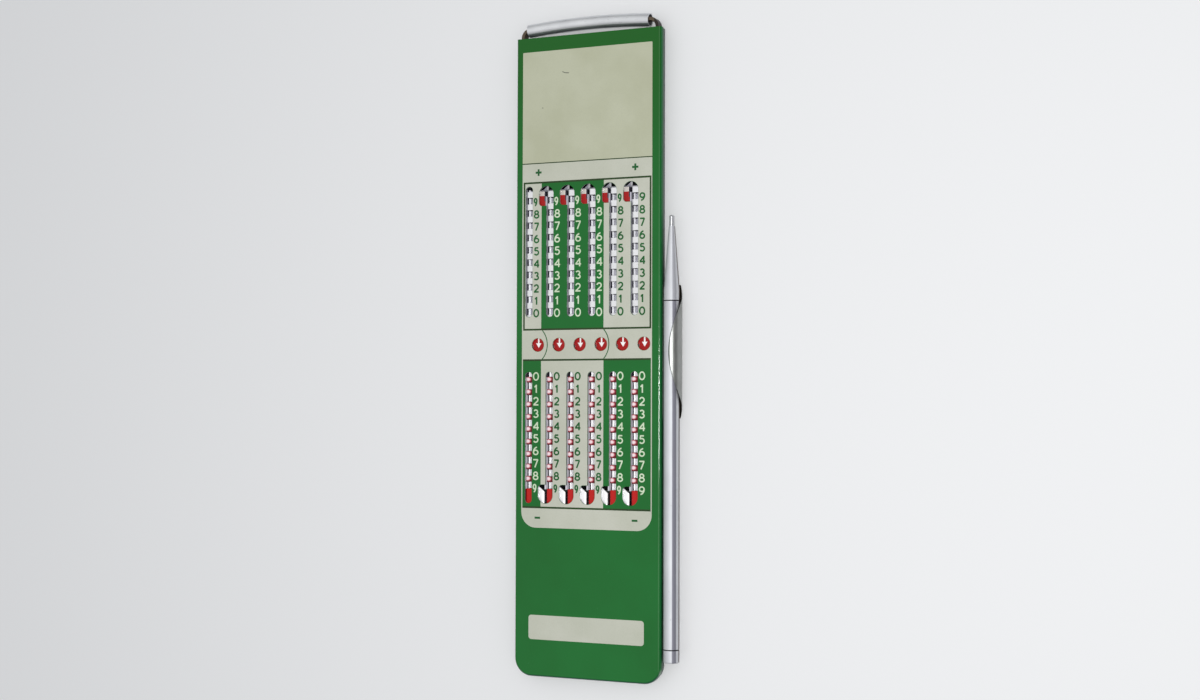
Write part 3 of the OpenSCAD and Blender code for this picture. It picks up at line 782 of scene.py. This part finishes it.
# The clip's inside, painted in shade where its surface faces the stylus's axis: the depth is how far, in
# metres.
clipInsideShade = {"tone": srgb(40, 38, 32), "depth": -0.0004}


def makeClipSteel():
    # dull on the outside, with painted shade nearly black on the side that faces the stylus
    material, tree, shader, place, colour, _ = metalParts("clipSteel")
    low, high = nodeBox("stylus_barrel")
    outward = addNode(tree, "ShaderNodeVectorMath", {0: place}, operation="SUBTRACT")
    outward.inputs[1].default_value = (low + high) / 2 * mm
    flat = addNode(tree, "ShaderNodeVectorMath", {0: outward.outputs[0]}, operation="MULTIPLY")
    flat.inputs[1].default_value = (1, 0, 1)
    facing = addNode(tree, "ShaderNodeVectorMath", {0: flat.outputs[0], 1: surfaceNormal(tree)},
                     operation="DOT_PRODUCT")
    # painted shade on the side that faces the stylus
    inner = lessThan(tree, facing.outputs["Value"], clipInsideShade["depth"])
    tree.links.new(mixColour(tree, inner, colour, clipInsideShade["tone"]), shader.inputs["Base Color"])
    return material


# The red on a slider, in millimetres: x from the middle of the slider, y as it lies at rest.
# On the lower left teeth a painted highlight turns the red pale pink in the middle of each tooth,
# and painted shade darkens the red round its rim.
redZones = {
    "red": srgb(174, 24, 24),
    "deepRed": srgb(154, 18, 18),
    "noiseScale": 500.0,
    "roughness": 0.26,
    "specular": 0.22,
    "edge": 0.04,
    "left": -0.35,                          # the red left teeth end here
    "leftTop": lowerZero + 0.5 * pitch,
    "leftEnd": lowerZero - 9 * pitch,
    "bright": srgb(190, 30, 26),
    "brightX": (-2.2, -1.3),
    "brightEdge": 0.3,
    # painted shade at each tooth's rim, then a painted highlight from rose to pink in its middle
    "toothShadeRed": srgb(100, 18, 28),
    "toothHighlightRose": srgb(206, 96, 106),
    "toothHighlightPink": srgb(251, 228, 232),
    "toothX": -2.08,
    "toothHalf": (1.0, 0.68),
    "toothRise": 0.12,
    "roseRing": (0.98, 0.5),
    "pinkRing": (0.56, 0.16),
    "block": -1.3,                          # the red behind the window begins here
    "upperBlock": -0.42,
    "blockHalf": 2.0,
    "hook": 0.3,
    "hookTop": upperZero + 9.5 * pitch - 0.45,
    "crown": srgb(204, 197, 190),           # bare metal above the red at the hook
    "foot": srgb(254, 253, 254),            # bare metal right of the lowest red
    "footX": 0.6,
    "flankShade": srgb(58, 56, 60),              # painted shade on a tooth's side below its face
    "flankShadeDrop": 0.32,
    "side": srgb(66, 64, 74),               # painted shade on the right edge above the last arrow
    "sideX": 0.3,
}


def makeSliderMetal(name, middle):
    # bare metal with red lacquer on the lower left teeth, behind each arrow and at the upper hook, a
    # painted highlight on each lower left tooth, and painted shade on the teeth's sides and on the right
    # edge above the last arrow
    look, far = redZones, 100.0
    edge, half = look["edge"], look["blockHalf"]
    lastY = windowY + travel
    material, tree, shader, place, colour, rough = metalParts("sliderMetal")
    material.name = name
    x, y, z = placeParts(tree, place)
    x = minus(tree, x, middle)
    left = times(tree, inBand(tree, x, -far, look["left"], edge),
                 inBand(tree, y, -far, look["leftTop"], edge))
    block = times(tree, inBand(tree, x, look["block"], far, edge),
                  inBand(tree, y, windowY - half, windowY + half, edge))
    upperBlock = times(tree, inBand(tree, x, look["upperBlock"], far, edge),
                       inBand(tree, y, lastY - half, lastY + half, edge))
    hook = times(tree, inBand(tree, x, look["hook"], far, edge),
                 inBand(tree, y, lastY, look["hookTop"], edge))
    red = larger(tree, left, larger(tree, larger(tree, block, upperBlock), hook))

    noise = addNode(tree, "ShaderNodeTexNoise", {"Vector": place}, Scale=look["noiseScale"], Detail=2.0)
    redColour = mixColour(tree, noise.outputs["Fac"], look["deepRed"], look["red"])
    bright = times(tree, left, inBand(tree, x, *look["brightX"], look["brightEdge"]))
    redColour = mixColour(tree, bright, redColour, look["bright"])
    # the painted highlight and shade of each tooth: rings around its middle, as squared distances in
    # shares of its half width and height
    halfX, halfY = look["toothHalf"]
    turns = over(tree, minus(tree, y, lowerZero), pitch)
    along = times(tree, minus(tree, mathNode(tree, "FRACT", turns), 0.5), pitch)
    along = over(tree, minus(tree, along, look["toothRise"]), halfY)
    across = over(tree, minus(tree, x, look["toothX"]), halfX)
    ring = plus(tree, mathNode(tree, "POWER", across, 2.0), mathNode(tree, "POWER", along, 2.0))
    tooth = mixColour(tree, step(tree, ring, *look["roseRing"]), look["toothShadeRed"], look["toothHighlightRose"])
    tooth = mixColour(tree, step(tree, ring, *look["pinkRing"]), tooth, look["toothHighlightPink"])
    onTeeth = times(tree, left, moreThan(tree, y, look["leftEnd"]))
    redColour = mixColour(tree, onTeeth, redColour, tooth)

    crown = times(tree, moreThan(tree, x, look["hook"]), moreThan(tree, y, look["hookTop"]))
    foot = times(tree, moreThan(tree, x, look["footX"]), lessThan(tree, y, look["leftEnd"]))
    # painted shade on the teeth's sides below their face
    flankShade = lessThan(tree, z, sliderTop - look["flankShadeDrop"])
    # painted shade on the right edge above the last arrow
    side = times(tree, moreThan(tree, x, sliderWidth / 2 - look["sideX"]),
                 moreThan(tree, y, lastY + half))
    for mask, tone in ((crown, look["crown"]), (foot, look["foot"]), (red, redColour),
                       (flankShade, look["flankShade"]), (side, look["side"])):
        colour = mixColour(tree, mask, colour, tone)
    bare = invert(tree, red)
    feed(tree, shader, {
        "Base Color": colour,
        "Metallic": times(tree, bare, metals["sliderMetal"]["metallic"]),
        "Roughness": plus(tree, times(tree, bare, rough), times(tree, red, look["roughness"]))})
    shader.inputs["Specular IOR Level"].default_value = look["specular"]
    return material


def dress(node, material):
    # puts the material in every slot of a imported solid
    slots = nodes[node].data.materials
    if len(slots) == 0:
        slots.append(material)
    for i in range(len(slots)):
        slots[i] = material


finishes = [
    (makeLacquer(), ["front_cover"]),
    (makeMetal("trayMetal"), ["back_cover"]),
    (makeGuideMetal(), ["guide_plate", "brake_spring"]),
    (makeStripSteel(), ["clearing_bar", "bar_rivets", "clearing_leg_left", "clearing_leg_right"]),
    (makeMetal("tubeMetal"), ["grip_tube"]),
    (makeClipSteel(), ["stylus_clip"]),
    (makeMetal("tipSteel"), ["stylus_tip"]),
    (makeStylusMetal(), ["stylus_nose", "stylus_barrel", "stylus_cap"]),
]
for finish, members in finishes:
    for member in members:
        dress(member, finish)
for name, middle in zip(sliderNames, columnX):
    dress(name, makeSliderMetal(name + "Metal", middle))
ink = {name: makeInk(name) for name in inks}
print("finishes made")


def setPiece(item, finish, body):
    # gives a new piece its finish and the body that it rides on
    item.data.materials.clear()
    item.data.materials.append(finish)
    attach(item, body)


# The printing on the lid, in millimetres. A box is its left, right, lower and upper edge.
printing = {
    "film": 0.012,              # thickness of one coat of ink
    "slotEdge": 0.05,           # how far the print stays from an opening
    "panel": (-18.30, 17.81, -43.70, 77.58),
    "panelRadius": 4.0,
    "noteRadius": 0.25,
    "noteLine": (48.79, 49.05),
    "upperFrame": (-17.98, 17.6, 6.29, 44.2),
    "frameLine": 0.46,
    "frameRadius": 0.1,
    "fieldSplits": (-12.83, 4.62),
    "fieldRadius": 0.05,
    "lowerField": (-18.02, 17.54, -38.80, -1.02),
    "sharp": 0.02,              # the least radius
    "plate": (-16.11, 15.76, -71.86, -65.72),
    "plateRadius": 0.8,
    "signs": {"x": (-13.72, 13.22), "plusY": 46.57, "minusY": -41.19, "plus": 1.7, "minus": 1.55,
              "line": 0.52},
}


def printPanel():
    # one coat of cream: the panel less its green frame, fields and lines, and the plate below
    # dark lines in what the cream leaves free: the upper frame, the lower field's ends, the note line
    look = printing
    x0, x1, y0, y1 = look["panel"]
    fx0, fx1, fy0, fy1 = look["upperFrame"]
    lx0, lx1, ly0, ly1 = look["lowerField"]
    line, sharp, field = look["frameLine"], look["sharp"], look["fieldRadius"]
    first, second = look["fieldSplits"]
    note0, note1 = look["noteLine"]
    z0, z1 = faceZ, faceZ + look["film"]
    frameBox = roundBox(fx0, fx1, fy0, fy1, look["frameRadius"], look["frameRadius"])
    sheet = flatSheet("cream_print", [
        roundBox(x0, x1, y0, note0, look["panelRadius"], sharp),
        roundBox(x0, x1, note1, y1, sharp, look["noteRadius"]),
        frameBox,
        roundBox(fx0 + line, first, fy0 + line, fy1 - line, field, field),
        roundBox(second, fx1 - line, fy0 + line, fy1 - line, field, field),
        roundBox(lx0, lx1, ly0, ly1, field, field),
        roundBox(first, second, ly0 + line, ly1 - line, field, field),
        roundBox(*look["plate"], look["plateRadius"], look["plateRadius"]),
    ], z0, z1)
    past = 0.3
    cutter = flatSheet("openingCutter", openings(look["slotEdge"]), z0 - past, z1 + past)
    cutWith(sheet, cutter)
    lines = flatSheet("frame_lines", [
        frameBox,
        roundBox(fx0 + line, fx1 - line, fy0 + line, fy1 - line, field, field),
        roundBox(lx0, lx1, ly0, ly0 + line, sharp, sharp),
        roundBox(lx0, lx1, ly1 - line, ly1, sharp, sharp),
        roundBox(x0, x1, note0, note1, sharp, sharp),
    ], z0, (z0 + z1) / 2)
    cutWith(lines, cutter)
    bpy.data.objects.remove(cutter)
    setPiece(lines, ink["line"], "case")
    setPiece(sheet, ink["cream"], "case")


printPanel()


def lidStrokes(name, strokes, line, tone, lift=0.5, film=printing["film"]):
    # strokes on the lid, lifted from its face by a share of the usual coat
    z0 = faceZ + lift * printing["film"]
    setPiece(strokeSheet(name, strokes, line, z0, z0 + film), ink[tone], "case")


# The figures stand a little below the middle of their places, more so in the lower bank. The 9 beside a
# hook is narrow, and stands nearer to its slot.
figures = {"height": 2.2, "width": 1.72, "narrow": 1.16, "creamLine": 0.35, "greenLine": 0.42,
           "offset": 2.09, "narrowOffset": 1.8, "upperDrop": 0.4, "lowerDrop": 0.74,
           "fieldColumns": (1, 2, 3)}


def bankFigures():
    # 9 to 0 down the upper bank and 0 to 9 down the lower, cream on the green fields and green on cream
    onGreen, onCream = [], []
    for i, x in enumerate(columnX):
        onField = i in figures["fieldColumns"]
        for digit in range(10):
            narrow = digit == 9 and x != columnX[-1]
            centre = x + slotOffset + figures["narrowOffset" if narrow else "offset"]
            for y, strokes in (
                    (upperZero + digit * pitch - figures["upperDrop"], onGreen if onField else onCream),
                    (lowerZero - digit * pitch - figures["lowerDrop"], onCream if onField else onGreen)):
                line = figures["creamLine" if strokes is onGreen else "greenLine"]
                wide = figures["narrow" if narrow else "width"] - line
                strokes.extend(digitStrokes(digit, centre, y, figures["height"] - line, wide))
    lidStrokes("cream_figures", onGreen, figures["creamLine"], "figure", lift=0.0)
    lidStrokes("green_figures", onCream, figures["greenLine"], "green")


bankFigures()


def signs():
    # a plus at both ends of the header and a minus at both ends of the footer
    look = printing["signs"]
    plusHalf, minusHalf = look["plus"] / 2, look["minus"] / 2
    strokes = []
    for x in look["x"]:
        strokes.append(([[x - plusHalf, look["plusY"]], [x + plusHalf, look["plusY"]]], False))
        strokes.append(([[x, look["plusY"] - plusHalf], [x, look["plusY"] + plusHalf]], False))
        strokes.append(([[x - minusHalf, look["minusY"]], [x + minusHalf, look["minusY"]]], False))
    lidStrokes("sign_print", strokes, look["line"], "green")


signs()

dividers = {"tops": (-12.5, 4.68), "bulge": 1.42, "line": 0.25}


def dividerArcs():
    # two thin arcs in the window band: a circle through both ends of the band and the bulge between them
    y0, y1 = printing["lowerField"][3], printing["upperFrame"][2]
    half, rise = (y1 - y0) / 2, dividers["bulge"]
    radius = (half ** 2 + rise ** 2) / (2 * rise)
    sweep = math.degrees(math.asin(half / radius))
    strokes = [(arc(x + rise - radius, (y0 + y1) / 2, radius, radius, -sweep, sweep, 30), False)
               for x in dividers["tops"]]
    lidStrokes("divider_arcs", strokes, dividers["line"], "green")


dividerArcs()

# Faint strokes that a pencil has left on the note field, half sunk into the print.
pencil = {"line": 0.2, "film": 0.004, "marks": [[(-7.05, 71.95), (-6.3, 71.6), (-5.2, 71.5)],
                                                 [(-12.75, 63.1), (-12.45, 63.0)]]}
lidStrokes("pencil_marks", [(mark, False) for mark in pencil["marks"]], pencil["line"], "pencil",
           lift=1 - pencil["film"] / 2 / printing["film"], film=pencil["film"])
print("lid printed")

sliderPrint = {"film": 0.006, "figureHeight": 1.95, "figureWidth": 1.4, "line": 0.3,
               "stem": 0.4, "head": 1.5, "headLength": 1.2, "tip": 0.72, "barb": 0.86, "tail": 1.75}


def arrowOutline(x, y, turn):
    # a stem with a three-cornered head, pointing down, or up if turn is -1
    look = sliderPrint
    stem, head = look["stem"] / 2, look["head"] / 2
    neck = look["headLength"] - look["tip"]
    barb = neck * look["barb"]
    points = np.array([[0, -look["tip"]], [head, neck], [stem, barb], [stem, look["tail"]],
                       [-stem, look["tail"]], [-stem, barb], [-head, neck]])
    return points[::turn] * [1, turn] + [x, y]


def printSliders():
    # on each slider an arrow, the figures 0 to 9 and a second arrow, each a pitch from the last
    look = sliderPrint
    line = look["line"]
    z0, z1 = sliderTop, sliderTop + look["film"]
    for body, x in zip(sliderNames, columnX):
        centre = x + windowOffset
        arrows = flatSheet(f"{body}_arrows", [arrowOutline(centre, windowY, 1),
                                              arrowOutline(centre, windowY + travel, -1)], z0, z1)
        setPiece(arrows, ink["white"], body)
        strokes = []
        for digit in range(10):
            strokes += digitStrokes(digit, centre, windowY + (digit + 1) * pitch,
                                    look["figureHeight"] - line, look["figureWidth"] - line)
        sheet = strokeSheet(f"{body}_figures", strokes, line, z0, z1)
        setPiece(sheet, ink["black"], body)


printSliders()
print("sliders printed")

# The slanted shoulder that closes the foot of the lowest gap on a slider's right edge, as its depth from
# the edge, its rise at the inner end and its drop at the outer end, and the thickness of the sheet. It
# reaches over the solid's own slant, which drops by solidDrop, and stays a hair inside the sheet.
shoulder = {"depth": 1.6, "rise": 0.62, "drop": 0.72, "solidDrop": 0.85, "halfGap": 0.85, "sheet": 0.39,
            "edgeInset": 0.05, "overlap": 0.02, "recess": 0.01}


def shoulders():
    # a four-sided outline from the root of the gap to its mouth, as thick as the sheet
    look = shoulder
    gapFoot = lowerZero - 9 * pitch - look["halfGap"]
    z0, z1 = sliderTop - look["sheet"], sliderTop - look["recess"]
    for body, x in zip(sliderNames, columnX):
        mouth = x + sliderWidth / 2 - look["edgeInset"]
        root = x + sliderWidth / 2 - look["depth"]
        outline = np.array([[root, gapFoot - look["overlap"]], [mouth, gapFoot - look["solidDrop"]],
                            [mouth, gapFoot - look["drop"]], [root, gapFoot + look["rise"]]])
        wedge = flatSheet(f"{body}_shoulder", [outline], z0, z1)
        setPiece(wedge, bpy.data.materials[body + "Metal"], body)


shoulders()
print("shoulders closed")

# The camera's turns in degrees, and its target and distance in millimetres.
cameraView = {"yaw": 25.0, "pitch": 1.9, "roll": 0.155, "target": (3.67, 1.12, 4.2),
              "distance": 444.8, "lens": 53.38}


def makeCamera():
    turn = (Matrix.Rotation(math.radians(cameraView["yaw"]), 4, "Y")
            @ Matrix.Rotation(math.radians(cameraView["pitch"]), 4, "X")
            @ Matrix.Rotation(math.radians(cameraView["roll"]), 4, "Z"))
    back = np.array(turn.col[2][:3])
    spot = (np.array(cameraView["target"]) + back * cameraView["distance"]) * mm
    data = bpy.data.cameras.new("camera")
    data.lens = cameraView["lens"]
    data.sensor_width = 36
    data.clip_start = 0.01
    camera = addObject("camera", data)
    camera.matrix_world = Matrix.Translation(spot) @ turn
    bpy.context.scene.camera = camera


makeCamera()

keyLamp = {"from": (205, -14, 485), "size": 60, "watts": 1.25}


def makeLamp():
    # a square lamp that points at the origin
    data = bpy.data.lights.new("key", "AREA")
    data.size = keyLamp["size"] * mm
    data.energy = keyLamp["watts"]
    lamp = addObject("key", data)
    spot = Vector(keyLamp["from"]) * mm
    lamp.location = spot
    lamp.rotation_euler = spot.to_track_quat("Z", "Y").to_euler()


makeLamp()

# Shiny surfaces see a room that is bright overhead and duller low down, with darker panels: each has
# its direction, its outer and inner edge as cosines, and its brightness.
room = {
    "strength": 0.58, "colour": (0.95, 0.97, 1.0), "backdrop": 0.9,
    "low": 0.36, "overhead": 1.0, "rise": (0.0, 0.9),
    "panels": [((0.887, 0.0, 0.462), (0.84, 0.92), 0.13), ((0.0, -0.92, 0.39), (0.7, 0.95), 0.46)],
}


def makeWorld():
    world = bpy.data.worlds.new("studio")
    bpy.context.scene.world = world
    world.use_nodes = True
    tree = world.node_tree
    light = tree.nodes["Background"]
    light.inputs["Color"].default_value = (*room["colour"], 1)
    light.inputs["Strength"].default_value = room["strength"]
    direction = tree.nodes.new("ShaderNodeTexCoord").outputs["Generated"]
    upward = addNode(tree, "ShaderNodeSeparateXYZ", {0: direction}).outputs[2]
    low, overhead = (room["low"],) * 3, (room["overhead"],) * 3
    sight = mixColour(tree, step(tree, upward, *room["rise"]), low, overhead)
    for towards, edges, level in room["panels"]:
        panel = step(tree, dotWith(tree, direction, towards), *edges)
        sight = mixColour(tree, panel, sight, (level,) * 3)
    shown = addNode(tree, "ShaderNodeBackground", {"Color": sight})
    backdrop = tree.nodes.new("ShaderNodeBackground")
    backdrop.inputs["Color"].default_value = (*(room["backdrop"],) * 3, 1)
    path = tree.nodes.new("ShaderNodeLightPath")
    seen = light.outputs[0]
    for ray, look in (("Is Glossy Ray", shown), ("Is Camera Ray", backdrop)):
        mix = addNode(tree, "ShaderNodeMixShader", {0: path.outputs[ray], 1: seen, 2: look.outputs[0]})
        seen = mix.outputs[0]
    tree.links.new(seen, tree.nodes["World Output"].inputs["Surface"])


makeWorld()

ground = {"half": 3.0, "tone": 0.83, "roughness": 0.95}


def makeFloor():
    half = ground["half"]
    mesh = bpy.data.meshes.new("floor")
    mesh.from_pydata([(-half, -half, 0), (half, -half, 0), (half, half, 0), (-half, half, 0)], [],
                     [(0, 1, 2, 3)])
    floor = addObject("floor", mesh)
    material, _, shader, _ = newMaterial("paleFloor")
    shader.inputs["Base Color"].default_value = (*(ground["tone"],) * 3, 1)
    shader.inputs["Roughness"].default_value = ground["roughness"]
    shader.inputs["Specular IOR Level"].default_value = 0.0
    mesh.materials.append(material)


makeFloor()
bpy.context.scene.view_settings.view_transform = "Standard"
print("stage set")
